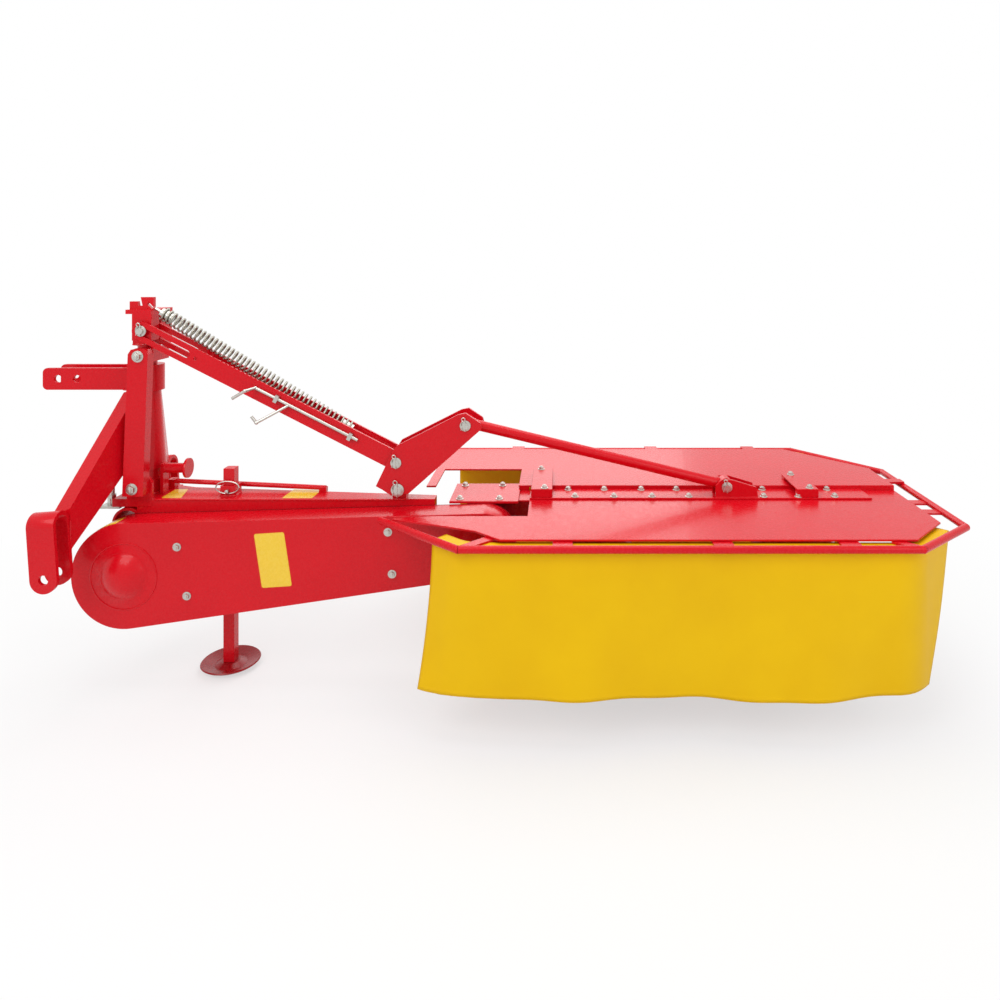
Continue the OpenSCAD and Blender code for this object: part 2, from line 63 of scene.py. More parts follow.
class Slot(Enum):
    """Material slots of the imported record."""

    RED = "red_paint"
    ZINC = "zinc_steel"
    STEEL = "bare_steel"
    CLOTH = "curtain_cloth"


class Body(Enum):
    """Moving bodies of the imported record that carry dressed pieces."""

    BEAM = "beam"
    HITCH = "hitch"
    CRANK = "bell_crank"
    ARM = "lift_arm"
    LINK = "link"
    CUTTER = "cutter"
    DRUM_IN = "drum_in"
    DRUM_OUT = "drum_out"
    DRIVE = "drive"


def at(x: float, y: float, z: float) -> Vector:
    """Point of the drawing, in millimetres from the king pin, as a point of the frame.

    Args:
        x: Distance outboard of the king pin.
        y: Distance in front of the gearcase's middle.
        z: Height over the ground.

    Returns:
        The point in metres in the shared frame.
    """
    return Vector((x, y, z)) / 1000.0 + SHIFT


class NodeKit:
    """Short hand for wiring one node tree."""

    def __init__(self, tree: bpy.types.NodeTree) -> None:
        """Keep the tree that nodes are added to.

        Args:
            tree: Node tree of a material, a world or a group.
        """
        self.tree = tree

    def add(self, kind: str, **values: object) -> bpy.types.Node:
        """Add a node and set its sockets or properties.

        Args:
            kind: Blender's node type name.
            values: Socket defaults by name with underscores, or node properties.

        Returns:
            The new node.
        """
        node = self.tree.nodes.new(kind)
        for key, value in values.items():
            label = key.replace("_", " ")
            if label in node.inputs:
                node.inputs[label].default_value = value
            else:
                setattr(node, key, value)
        return node

    def wire(self, source: bpy.types.NodeSocket, target: bpy.types.NodeSocket) -> None:
        """Link two sockets.

        Args:
            source: Socket that gives the value.
            target: Socket that takes it.
        """
        self.tree.links.new(source, target)

    def ramp(self, source: bpy.types.NodeSocket, low: float, high: float, to_low: float,
             to_high: float) -> bpy.types.NodeSocket:
        """Map a value range on to another.

        Args:
            source: The value to map.
            low: Start of the range read.
            high: End of the range read.
            to_low: Result at the start.
            to_high: Result at the end.

        Returns:
            The mapped value's socket.
        """
        node = self.add("ShaderNodeMapRange")
        for name, value in (("From Min", low), ("From Max", high), ("To Min", to_low), ("To Max", to_high)):
            node.inputs[name].default_value = value
        self.wire(source, node.inputs["Value"])
        return node.outputs["Result"]

    def mix(self, mask: bpy.types.NodeSocket, first: bpy.types.NodeSocket,
            second: bpy.types.NodeSocket) -> bpy.types.NodeSocket:
        """Mix two colours by a mask.

        Args:
            mask: Share of the second colour.
            first: Colour where the mask is 0.
            second: Colour where the mask is 1.

        Returns:
            The mixed colour's socket.
        """
        node = self.add("ShaderNodeMix", data_type="RGBA")
        self.wire(mask, node.inputs["Factor"])
        for name, colour in (("A", first), ("B", second)):
            self.wire(colour, next(s for s in node.inputs if s.name == name and s.type == "RGBA"))
        return next(s for s in node.outputs if s.type == "RGBA")


class SurfaceGroups:
    """Shader node groups that several finishes share, each built once."""

    outputs: tuple[tuple[str, str], ...] = (
        ("Color", "NodeSocketColor"), ("Roughness", "NodeSocketFloat"), ("Height", "NodeSocketFloat"))

    @classmethod
    def _open(cls, name: str, inputs: Sequence[tuple[str, str, object]]
              ) -> tuple[bpy.types.NodeTree, NodeKit, bpy.types.Node, bpy.types.Node]:
        """Start a group with Color, Roughness and Height outputs.

        Args:
            name: Name of the group.
            inputs: Socket name, socket type and default of each input.

        Returns:
            The tree, its kit, the input node and the output node.
        """
        tree = bpy.data.node_groups.new(name, "ShaderNodeTree")
        for label, kind, default in inputs:
            tree.interface.new_socket(label, in_out="INPUT", socket_type=kind).default_value = default
        for label, kind in cls.outputs:
            tree.interface.new_socket(label, in_out="OUTPUT", socket_type=kind)
        kit = NodeKit(tree)
        return tree, kit, kit.add("NodeGroupInput"), kit.add("NodeGroupOutput")

    @classmethod
    def paint(cls) -> bpy.types.NodeTree:
        """Sprayed paint: faint orange peel, cloudy tone, dust and small chips.

        Returns:
            The node group.
        """
        tree, kit, start, end = cls._open("sprayed_paint", (
            ("Base", "NodeSocketColor", (0.5, 0.01, 0.015, 1.0)),
            ("Shade", "NodeSocketColor", (0.3, 0.006, 0.01, 1.0)),
            ("Dust", "NodeSocketColor", (0.55, 0.35, 0.3, 1.0)),
            ("Dust Share", "NodeSocketFloat", 0.06)))
        place = kit.add("ShaderNodeTexCoord").outputs["Object"]
        cloud = kit.add("ShaderNodeTexNoise", Scale=4.5, Detail=4.0, Roughness=0.55)
        fine = kit.add("ShaderNodeTexNoise", Scale=620.0, Detail=2.0, Roughness=0.5)
        specks = kit.add("ShaderNodeTexNoise", Scale=95.0, Detail=6.0, Roughness=0.7)
        for node in (cloud, fine, specks):
            kit.wire(place, node.inputs["Vector"])
        cloudy = kit.ramp(cloud.outputs[0], 0.35, 0.75, 0.0, 0.32)
        tone = kit.mix(cloudy, start.outputs["Base"], start.outputs["Shade"])
        dust = kit.add("ShaderNodeMath", operation="MULTIPLY")
        kit.wire(kit.ramp(specks.outputs[0], 0.52, 0.78, 0.0, 1.0), dust.inputs[0])
        kit.wire(start.outputs["Dust Share"], dust.inputs[1])
        kit.wire(kit.mix(dust.outputs[0], tone, start.outputs["Dust"]), end.inputs["Color"])
        kit.wire(kit.ramp(specks.outputs[0], 0.35, 0.8, 0.2, 0.42), end.inputs["Roughness"])
        kit.wire(fine.outputs[0], end.inputs["Height"])
        return tree

    @classmethod
    def metal(cls) -> bpy.types.NodeTree:
        """Plated or bare steel: drawn streaks, tarnish and fine pits.

        Returns:
            The node group.
        """
        tree, kit, start, end = cls._open("worked_metal", (
            ("Base", "NodeSocketColor", (0.7, 0.7, 0.68, 1.0)),
            ("Tarnish", "NodeSocketColor", (0.35, 0.32, 0.28, 1.0)),
            ("Tarnish Share", "NodeSocketFloat", 0.3)))
        place = kit.add("ShaderNodeTexCoord").outputs["Object"]
        streak = kit.add("ShaderNodeTexNoise", Scale=260.0, Detail=3.0, Roughness=0.6)
        stain = kit.add("ShaderNodeTexNoise", Scale=38.0, Detail=5.0, Roughness=0.65)
        for node in (streak, stain):
            kit.wire(place, node.inputs["Vector"])
        share = kit.add("ShaderNodeMath", operation="MULTIPLY")
        kit.wire(kit.ramp(stain.outputs[0], 0.4, 0.75, 0.0, 1.0), share.inputs[0])
        kit.wire(start.outputs["Tarnish Share"], share.inputs[1])
        tone = kit.mix(share.outputs[0], start.outputs["Base"], start.outputs["Tarnish"])
        kit.wire(tone, end.inputs["Color"])
        kit.wire(kit.ramp(streak.outputs[0], 0.3, 0.75, 0.22, 0.45), end.inputs["Roughness"])
        kit.wire(streak.outputs[0], end.inputs["Height"])
        return tree

    @classmethod
    def cloth(cls) -> bpy.types.NodeTree:
        """Coated fabric: a plain weave under the coat, soft creases and rubbed tone.

        Returns:
            The node group.
        """
        tree, kit, start, end = cls._open("coated_cloth", (
            ("Base", "NodeSocketColor", (0.9, 0.62, 0.02, 1.0)),
            ("Shade", "NodeSocketColor", (0.7, 0.42, 0.01, 1.0)),
            ("Threads", "NodeSocketFloat", 150.0)))
        place = kit.add("ShaderNodeTexCoord").outputs["Object"]
        across = kit.add("ShaderNodeTexWave", wave_type="BANDS", bands_direction="X", Distortion=0.4)
        along = kit.add("ShaderNodeTexWave", wave_type="BANDS", bands_direction="Z", Distortion=0.4)
        crease = kit.add("ShaderNodeTexNoise", Scale=5.0, Detail=5.0, Roughness=0.55)
        for node in (across, along, crease):
            kit.wire(place, node.inputs["Vector"])
        for node in (across, along):
            kit.wire(start.outputs["Threads"], node.inputs["Scale"])
        weave = kit.add("ShaderNodeMath", operation="MULTIPLY")
        kit.wire(across.outputs["Fac"], weave.inputs[0])
        kit.wire(along.outputs["Fac"], weave.inputs[1])
        height = kit.add("ShaderNodeMath", operation="MULTIPLY_ADD")
        kit.wire(crease.outputs[0], height.inputs[0])
        height.inputs[1].default_value = 2.5
        kit.wire(weave.outputs[0], height.inputs[2])
        rubbed = kit.ramp(crease.outputs[0], 0.35, 0.75, 0.0, 0.45)
        kit.wire(kit.mix(rubbed, start.outputs["Base"], start.outputs["Shade"]), end.inputs["Color"])
        kit.wire(kit.ramp(weave.outputs[0], 0.0, 1.0, 0.42, 0.55), end.inputs["Roughness"])
        kit.wire(height.outputs[0], end.inputs["Height"])
        return tree


@dataclass(frozen=True)
class Finish:
    """One material: a shared group's colours, with the plain values of its shader."""

    name: str
    group: str
    colours: tuple[tuple[str, tuple[float, float, float]], ...]
    values: tuple[tuple[str, float], ...] = ()
    metallic: float = 0.0
    coat: float = 0.0
    coat_roughness: float = 0.1
    specular: float = 0.5
    bump: float = 0.1
    relief: float = 0.0002

    def make(self) -> bpy.types.Material:
        """Build the material once and return it on later calls.

        Returns:
            The Blender material.
        """
        known = bpy.data.materials.get(self.name)
        if known is not None:
            return known
        material = bpy.data.materials.new(self.name)
        material.use_nodes = True
        kit = NodeKit(material.node_tree)
        shader = material.node_tree.nodes["Principled BSDF"]
        skin = kit.add("ShaderNodeGroup")
        skin.node_tree = bpy.data.node_groups.get(self.group) or GROUP_MAKERS[self.group]()
        for label, colour in self.colours:
            skin.inputs[label].default_value = (*colour, 1.0)
        for label, value in self.values:
            skin.inputs[label].default_value = value
        bump = kit.add("ShaderNodeBump", Strength=self.bump, Distance=self.relief)
        kit.wire(skin.outputs["Color"], shader.inputs["Base Color"])
        kit.wire(skin.outputs["Roughness"], shader.inputs["Roughness"])
        kit.wire(skin.outputs["Height"], bump.inputs["Height"])
        kit.wire(bump.outputs["Normal"], shader.inputs["Normal"])
        shader.inputs["Metallic"].default_value = self.metallic
        shader.inputs["Coat Weight"].default_value = self.coat
        shader.inputs["Coat Roughness"].default_value = self.coat_roughness
        shader.inputs["Specular IOR Level"].default_value = self.specular
        return material


GROUP_MAKERS: dict[str, Callable[[], bpy.types.NodeTree]] = {
    "sprayed_paint": SurfaceGroups.paint,
    "worked_metal": SurfaceGroups.metal,
    "coated_cloth": SurfaceGroups.cloth,
}

RED_PAINT = Finish("gloss_red_paint", "sprayed_paint",
                   (("Base", (0.66, 0.003, 0.011)), ("Shade", (0.52, 0.002, 0.008)),
                    ("Dust", (0.55, 0.1, 0.09))),
                   (("Dust Share", 0.05),), coat=0.1, coat_roughness=0.06, specular=0.2, bump=0.03)
# Darker copy of the red paint: painted shade for the parts that sit in shadow. Its larger dust share is real
# dust.
PAINTED_SHADE_RED = Finish("shaded_red_paint", "sprayed_paint",
                  (("Base", (0.32, 0.004, 0.008)), ("Shade", (0.2, 0.003, 0.006)),
                   ("Dust", (0.45, 0.2, 0.16))),
                  (("Dust Share", 0.16),), coat=0.1, coat_roughness=0.2, specular=0.25, bump=0.05)
LABEL_YELLOW = Finish("blank_yellow_label", "sprayed_paint",
                      (("Base", (0.88, 0.58, 0.02)), ("Shade", (0.8, 0.48, 0.015)),
                       ("Dust", (0.8, 0.7, 0.45))),
                      (("Dust Share", 0.08),), coat=0.3, coat_roughness=0.2, bump=0.04)
ZINC = Finish("zinc_plate", "worked_metal",
              (("Base", (0.56, 0.55, 0.51)), ("Tarnish", (0.3, 0.27, 0.21))), (("Tarnish Share", 0.3),),
              metallic=1.0, bump=0.08)
CHROME = Finish("bright_wire", "worked_metal",
                (("Base", (0.37, 0.35, 0.3)), ("Tarnish", (0.18, 0.16, 0.13))), (("Tarnish Share", 0.22),),
                metallic=1.0, bump=0.05)
STEEL = Finish("bare_steel_turned", "worked_metal",
               (("Base", (0.42, 0.42, 0.43)), ("Tarnish", (0.16, 0.13, 0.11))), (("Tarnish Share", 0.5),),
               metallic=1.0, bump=0.15)
CLOTH = Finish("yellow_coated_cloth", "coated_cloth",
               (("Base", (0.84, 0.51, 0.0)), ("Shade", (0.74, 0.41, 0.0))), (("Threads", 170.0),),
               specular=0.15, bump=0.22, relief=0.0004)


class Mesher:
    """Builds one piece from bmesh shapes, placed in the shared frame."""

    def __init__(self) -> None:
        """Start an empty mesh."""
        self.bm = bmesh.new()

    def _fresh(self, known: set[bmesh.types.BMVert]) -> list[bmesh.types.BMVert]:
        """Vertices added since a snapshot was taken.

        Args:
            known: Vertices of the snapshot.

        Returns:
            The vertices that aren't in it.
        """
        return [v for v in self.bm.verts if v not in known]

    def turned(self, start: Vector, axis: Vector, rings: Sequence[tuple[float, float]], segments: int = 24,
               edge: float = 0.0) -> None:
        """A turned solid, built by pushing a disc out ring by ring along an axis.

        Args:
            start: Middle of the first ring.
            axis: Direction of the rings.
            rings: Distance along the axis and radius of each ring.
            segments: Corners of each ring, six for a nut.
            edge: Width of the bevel on the last rim.
        """
        known = set(self.bm.verts)
        bmesh.ops.create_circle(self.bm, cap_ends=True, segments=segments, radius=rings[0][1],
                                matrix=Matrix.Translation((0, 0, rings[0][0])))
        face = next(iter(self._fresh(known)[0].link_faces))
        for (low, r0), (high, r1) in zip(rings, rings[1:]):
            made = bmesh.ops.extrude_face_region(self.bm, geom=[face])["geom"]
            face = next(g for g in made if isinstance(g, bmesh.types.BMFace))
            ratio = r1 / r0
            bmesh.ops.scale(self.bm, vec=(ratio, ratio, 1.0), verts=face.verts)
            bmesh.ops.translate(self.bm, vec=(0, 0, high - low), verts=face.verts)
        if edge:
            bmesh.ops.bevel(self.bm, geom=list(face.edges), offset=edge, offset_type="OFFSET", segments=2,
                            profile=0.5, affect="EDGES", material=-1)
        turn = UP.rotation_difference(axis).to_matrix().to_4x4()
        bmesh.ops.transform(self.bm, matrix=Matrix.Translation(start) @ turn, verts=self._fresh(known))

    def bolt(self, start: Vector, axis: Vector, size: float = 0.013, washer: float = 1.55) -> None:
        """A washer with a hexagon head and its stud end.

        Args:
            start: Point on the surface that the washer lies on.
            axis: Direction out of the surface.
            size: Width of the head over its corners, halved.
            washer: Washer radius as a multiple of the head's.
        """
        half = size / 2
        ring, corner, stud = half * washer, half * 1.12, half * 0.62
        head, end = half * 0.95, half * 0.35
        self.turned(start, axis, ((0.0, ring), (0.0022, ring)), 24, 0.0005)
        self.turned(start + axis * 0.0021, axis, ((0.0, corner), (head, corner)), 6, half * 0.16)
        self.turned(start + axis * (0.0019 + head), axis, ((0.0, stud), (end, stud)), 16, half * 0.1)

    def sweep(self, points: Sequence[Vector], radius: float, segments: int = 12,
              swell: Sequence[float] | None = None) -> None:
        """A round section carried along a line of points.

        Args:
            points: Middle line of the sweep.
            radius: Radius of the section.
            segments: Corners of the section.
            swell: Factor on the radius at each point.
        """
        known = set(self.bm.verts)
        bmesh.ops.create_circle(self.bm, cap_ends=True, segments=segments, radius=radius)
        ring = self._fresh(known)
        edges = list({e for v in ring for e in v.link_edges})
        last = Matrix.Identity(4)
        heading = (points[1] - points[0]).normalized()
        turn = UP.rotation_difference(heading)
        for i, point in enumerate(points):
            ahead = (points[min(i + 1, len(points) - 1)] - points[max(i - 1, 0)]).normalized()
            turn = heading.rotation_difference(ahead) @ turn
            heading = ahead
            grow = swell[i] if swell else 1.0
            here = Matrix.LocRotScale(point, turn, Vector((grow, grow, grow)))
            if i:
                made = bmesh.ops.extrude_edge_only(self.bm, edges=edges)["geom"]
                ring = [g for g in made if isinstance(g, bmesh.types.BMVert)]
                edges = [g for g in made if isinstance(g, bmesh.types.BMEdge)]
            bmesh.ops.transform(self.bm, matrix=here @ last.inverted(), verts=ring)
            last = here
        bmesh.ops.contextual_create(self.bm, geom=edges)

    def bead(self, start: Vector, end: Vector, radius: float = 0.004) -> None:
        """A welded seam between two points, with the ripples of its runs.

        Args:
            start: First point of the seam.
            end: Last point of the seam.
            radius: Half the width of the seam.
        """
        steps = max(4, int((end - start).length / 0.005))
        line = [start.lerp(end, i / steps) for i in range(steps + 1)]
        swell = [0.55 if i in (0, steps) else 0.86 + 0.14 * math.cos(i * 2.1) for i in range(steps + 1)]
        self.sweep(line, radius, 8, swell)

    def ring_bead(self, centre: Vector, axis: Vector, around: float, radius: float = 0.004) -> None:
        """A welded seam round a tube.

        Args:
            centre: Middle of the ring.
            axis: Axis of the tube.
            around: Radius of the ring.
            radius: Half the width of the seam.
        """
        steps = max(24, int(around * 2 * math.pi / 0.006))
        turn = UP.rotation_difference(axis)
        angles = [i * 2 * math.pi / steps for i in range(steps + 1)]
        line = [centre + turn @ Vector((around * math.cos(t), around * math.sin(t), 0.0)) for t in angles]
        self.sweep(line, radius, 8, [0.86 + 0.14 * math.cos(i * 2.3) for i in range(steps + 1)])

    def clip(self, pin: Vector, axis: Vector, radius: float, wire: float = 0.0016) -> None:
        """A washer and a spring clip through the end of a pin.

        Args:
            pin: Middle of the pin where the washer stands.
            axis: Direction towards the pin's end.
            radius: Radius of the pin.
            wire: Radius of the clip's wire.
        """
        self.turned(pin, axis, ((0.0, radius * 1.75), (0.0025, radius * 1.75)), 28, 0.0006)
        hub = pin + axis * 0.0065
        side = axis.cross(UP).normalized()
        leg = [hub + UP * (radius * t) for t in (-1.7, -0.6, 0.6, 1.3, 1.7)]
        bends = [k * 0.7 for k in range(8)]
        loop = [hub + UP * (radius * (2.15 + 0.5 * math.sin(t))) + side * (radius * 0.55 * (1 - math.cos(t)))
                for t in bends]
        back = [hub + UP * (radius * t) + side * (radius * (1.15 + 0.22 * math.sin(t * 3)))
                for t in (1.5, 0.7, 0.0, -0.7, -1.3)]
        self.sweep([*leg, *loop, *back], wire, 8)

    def plate(self, corners: Sequence[Vector], out: Vector, thick: float, rounding: float = 0.004) -> None:
        """A thin flat plate with rounded corners.

        Args:
            corners: Corner points in order on the surface it lies on.
            out: Direction out of that surface.
            thick: Thickness of the plate.
            rounding: Radius of the corners.
        """
        verts = [self.bm.verts.new(c) for c in corners]
        face = self.bm.faces.new(verts)
        made = bmesh.ops.extrude_face_region(self.bm, geom=[face])["geom"]
        raised = [g for g in made if isinstance(g, bmesh.types.BMVert)]
        bmesh.ops.translate(self.bm, vec=out * thick, verts=raised)
        posts = [e for v in verts for e in v.link_edges if e.other_vert(v) in raised]
        bmesh.ops.bevel(self.bm, geom=posts, offset=rounding, offset_type="OFFSET", segments=4, profile=0.5,
                        affect="EDGES", material=-1)

    def finish(self, name: str, finish: Finish, body: Body, slot: Slot,
               angle: float = 35.0) -> bpy.types.Object:
        """Make the object, give it its finish and let it ride on its body.

        Args:
            name: Name of the piece.
            finish: Its material.
            body: The moving body that it rides on.
            slot: The record's material slot; not used.
            angle: Edges sharper than this stay sharp, in degrees.

        Returns:
            The new object.
        """
        bmesh.ops.recalc_face_normals(self.bm, faces=self.bm.faces)
        mesh = bpy.data.meshes.new(name)
        self.bm.to_mesh(mesh)
        self.bm.free()
        mesh.shade_smooth()
        mesh.set_sharp_from_angle(angle=math.radians(angle))
        mesh.materials.append(finish.make())
        piece = bpy.data.objects.new(name, mesh)
        bpy.context.scene.collection.objects.link(piece)
        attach(piece, body.value)
        LOG.info("%s on %s, %d faces", name, body.value, len(mesh.polygons))
        return piece


@dataclass
class PaintedFrame:
    """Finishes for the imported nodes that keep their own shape."""

    zinc: tuple[str, ...] = (
        "float_pin", "crank_pin", "elbow_pin", "link_pin", "lug_pin", "tension_stud", "latch_rod",
        "spring_hook", "spring_tail")
    steel: tuple[str, ...] = ("hinge_trunnion", "inner_blades", "outer_blades")
    # Parts that sit in shadow under the deck, beam and cover; they get the darker red as painted shade.
    shaded: tuple[str, ...] = (
        "gearcase", "inner_drum", "outer_drum", "inner_disc", "outer_disc", "inner_saucer",
        "outer_saucer", "cover_back", "drive_housing", "stand_foot")
    soft_edges: tuple[str, ...] = (
        "main_beam", "head", "brace_strap", "near_leg", "far_leg", "near_bracket", "far_bracket",
        "upper_plates", "crank_plates", "arm_plates", "stand_socket", "stand_leg", "deck_straps",
        "inner_plate", "centre_plate", "link_bracket", "rest_peg", "belt_cover", "near_deck",
        "far_deck", "stay_bar")
    edge: float = 0.0016

    def _finish_of(self, name: str) -> Finish:
        """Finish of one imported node.

        Args:
            name: Name of the node.

        Returns:
            The finish that it is given.
        """
        if "curtain" in name:
            return CLOTH
        for names, finish in ((self.zinc, ZINC), (self.steel, STEEL), (self.shaded, PAINTED_SHADE_RED)):
            if name in names:
                return finish
        return RED_PAINT

    def _break_edges(self, node: bpy.types.Object) -> None:
        """Weld a node's mesh, join its flat faces and round its edges.

        Args:
            node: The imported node.
        """
        node.modifiers.new("weld", "WELD").merge_threshold = 0.00002
        flat = node.modifiers.new("flat_faces", "DECIMATE")
        flat.decimate_type = "DISSOLVE"
        flat.angle_limit = math.radians(0.4)
        bevel = node.modifiers.new("broken_edge", "BEVEL")
        bevel.width = self.edge
        bevel.segments = 2
        bevel.limit_method = "ANGLE"
        bevel.angle_limit = math.radians(50)
        bevel.harden_normals = True

    def dress(self, nodes: dict[str, bpy.types.Object]) -> None:
        """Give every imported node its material, and broken edges where sheet and plate show.

        Args:
            nodes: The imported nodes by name.
        """
        for name, node in nodes.items():
            node.data.materials.clear()
            node.data.materials.append(self._finish_of(name).make())
            if name in self.soft_edges:
                self._break_edges(node)
        LOG.info("%d packed nodes painted", len(nodes))


@dataclass
class BeltDrive:
    """Cover of the belt drive with its bolts, pressed ring and blank label, and the splined input stub."""

    face_y: float = -200.0
    bolts: tuple[Flat, ...] = ((201, 450), (232, 298), (856, 496), (869, 366))
    label: tuple[Flat, ...] = ((440, 490), (533, 496), (558, 329), (465, 323))
    pulley: Flat = (35, 358)
    rims: tuple[float, ...] = (103.0, 76.0)
    wrap_r: float = 164.4
    strip_arc: Flat = (100.0, 122.0)
    strip_y: Flat = (-194.0, -134.0)
    splines: int = 6
    spline_size: Place = (0.0085, 0.080, 0.0046)
    spline_place: Place = (0.0, 0.1165, 0.0151)
    shaft_start: float = -130.0
    shaft_rings: Rings = (
        (0.0, 0.0245), (0.0015, 0.025), (0.2035, 0.025), (0.204, 0.0152), (0.2875, 0.0152), (0.288, 0.0142))

    def build(self) -> None:
        """Make the cover's bolts, labels and rims, and the input shaft."""
        bolts = Mesher()
        for x, z in self.bolts:
            bolts.bolt(at(x, self.face_y, z), NEAR, 0.017)
        bolts.finish("cover_bolts", ZINC, Body.BEAM, Slot.ZINC)
        label = Mesher()
        label.plate([at(x, self.face_y, z) for x, z in self.label], NEAR, 0.0008, 0.006)
        label.finish("cover_label", LABEL_YELLOW, Body.BEAM, Slot.CLOTH)
        rims = Mesher()
        for radius in self.rims:
            self._rim(rims, radius)
        rims.finish("cover_pressed_rims", RED_PAINT, Body.BEAM, Slot.RED)
        self._strip()
        self._shaft()

    def _strip(self) -> None:
        """Lay a blank strip round the cover's upper curve."""
        strip = Mesher()
        bmesh.ops.create_grid(strip.bm, x_segments=12, y_segments=1, size=0.5)
        low, high = self.strip_arc
        front, back = self.strip_y
        x, z = self.pulley
        for vert in strip.bm.verts:
            turn = math.radians(low + (high - low) * (vert.co.x + 0.5))
            y = front + (back - front) * (vert.co.y + 0.5)
            vert.co = at(x + self.wrap_r * math.cos(turn), y, z + self.wrap_r * math.sin(turn))
        piece = strip.finish("cover_strip", LABEL_YELLOW, Body.BEAM, Slot.CLOTH)
        piece.modifiers.new("strip_thickness", "SOLIDIFY").thickness = 0.0006

    def _rim(self, rims: Mesher, radius: float) -> None:
        """Lay a thin pressed rim on the cover's face.

        Args:
            rims: The mesh that takes the rim.
            radius: Radius of the rim in millimetres.
        """
        middle = at(self.pulley[0], self.face_y - 0.2, self.pulley[1])
        angles = [i * math.pi / 36 for i in range(73)]
        line = [middle + Vector((math.cos(t), 0.0, math.sin(t))) * (radius / 1000) for t in angles]
        rims.sweep(line, 0.0024, 8)

    def _shaft(self) -> None:
        """Turn the input shaft and set its splines round the stub."""
        shaft = Mesher()
        along = Vector((0.0, 1.0, 0.0))
        x, z = self.pulley
        shaft.turned(at(x, self.shaft_start, z), along, self.shaft_rings, 48)
        for k in range(self.splines):
            turn = Matrix.Rotation(k * 2 * math.pi / self.splines, 3, "Y")
            known = set(shaft.bm.verts)
            bmesh.ops.create_cube(shaft.bm, size=1.0)
            tooth = [v for v in shaft.bm.verts if v not in known]
            bmesh.ops.scale(shaft.bm, vec=self.spline_size, verts=tooth)
            bmesh.ops.translate(shaft.bm, vec=self.spline_place, verts=tooth)
            bmesh.ops.rotate(shaft.bm, cent=(0, 0, 0), matrix=turn, verts=tooth)
            bmesh.ops.translate(shaft.bm, vec=at(x, 0, z), verts=tooth)
        piece = shaft.finish("input_shaft", STEEL, Body.DRIVE, Slot.STEEL)
        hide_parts("drive_shaft")


@dataclass
class BeamTop:
    """Plates, bolts and seams on the carrying beam and its mast."""

    top: float = 567.0
    plates: tuple[tuple[Flat, ...], ...] = (
        ((94, -90), (158, -90), (136, 2), (94, 2)),
        ((487, -92), (585, -92), (588, -10), (493, 0)))
    strap_bolts: tuple[Place, ...] = ((25, -138, 610), (44, -138, 1033))
    pin_ends: tuple[tuple[Place, float], ...] = (((41, -115, 1112), 0.010), ((870, -127, 604), 0.012))
    stud: Flat = (-80, -67)
    stud_thread: tuple[int, int, int] = (576, 600, 3)
    stand_pin: Place = (301, -70, 584)
    pull_ring: Place = (301, -73, 596)
    ring_size: Flat = (38, 20)
    ring_seams: tuple[tuple[float, float, float], ...] = ((567.5, 0.0615, 0.005), (1011, 0.031, 0.004))
    seams: tuple[tuple[Place, Place, float], ...] = (
        ((-30, -37, 1060), (64, -37, 1060), 0.004),
        ((80, -101.5, 565), (848, -101.5, 565), 0.0036),
        ((985.5, -98, 476), (985.5, -66, 476), 0.004),
        ((848, -101, 567), (892, -101, 567), 0.0045),
        ((276, -69, 567.5), (276, -21, 567.5), 0.004),
        ((326, -69, 567.5), (326, -21, 567.5), 0.004),
        ((276, -70, 567.5), (326, -70, 567.5), 0.004),
        ((70, -52, 567.5), (70, -18, 567.5), 0.004))

    def build(self) -> None:
        """Make the blank plates, fasteners and seams of the beam."""
        plates = Mesher()
        for corners in self.plates:
            plates.plate([at(x, y, self.top) for x, y in corners], UP, 0.0008, 0.004)
        plates.finish("beam_blank_plates", LABEL_YELLOW, Body.BEAM, Slot.CLOTH)
        self._fasteners()
        self._seams()

    def _fasteners(self) -> None:
        """Make the strap's bolts, the pin clips, the stud's thread and the stand's pin and ring."""
        small = Mesher()
        for place in self.strap_bolts:
            small.bolt(at(*place), NEAR, 0.024)
        for place, radius in self.pin_ends:
            small.clip(at(*place), NEAR, radius)
        low, high, pitch = self.stud_thread
        small.turned(at(*self.stud, high), UP, ((0.0, 0.0076), (0.004, 0.0066)), 20)
        for z in range(low, high, pitch):
            small.ring_bead(at(*self.stud, z), UP, 0.0079, 0.0008)
        x, y, z = self.pull_ring
        wide, tall = self.ring_size
        turns = [k * math.pi / 9 for k in range(19)]
        small.sweep([at(x + wide * math.cos(t), y, z + tall * math.sin(t)) for t in turns], 0.0022, 8)
        small.turned(at(*self.stand_pin), NEAR, ((0.0, 0.006), (0.012, 0.006)), 16, 0.001)
        small.finish("beam_fasteners", ZINC, Body.BEAM, Slot.ZINC)

    def _seams(self) -> None:
        """Lay the welded seams of the beam and the mast."""
        seams = Mesher()
        for z, around, radius in self.ring_seams:
            seams.ring_bead(at(0, 0, z), UP, around, radius)
        for start, end, radius in self.seams:
            seams.bead(at(*start), at(*end), radius)
        seams.finish("beam_welds", RED_PAINT, Body.BEAM, Slot.RED)


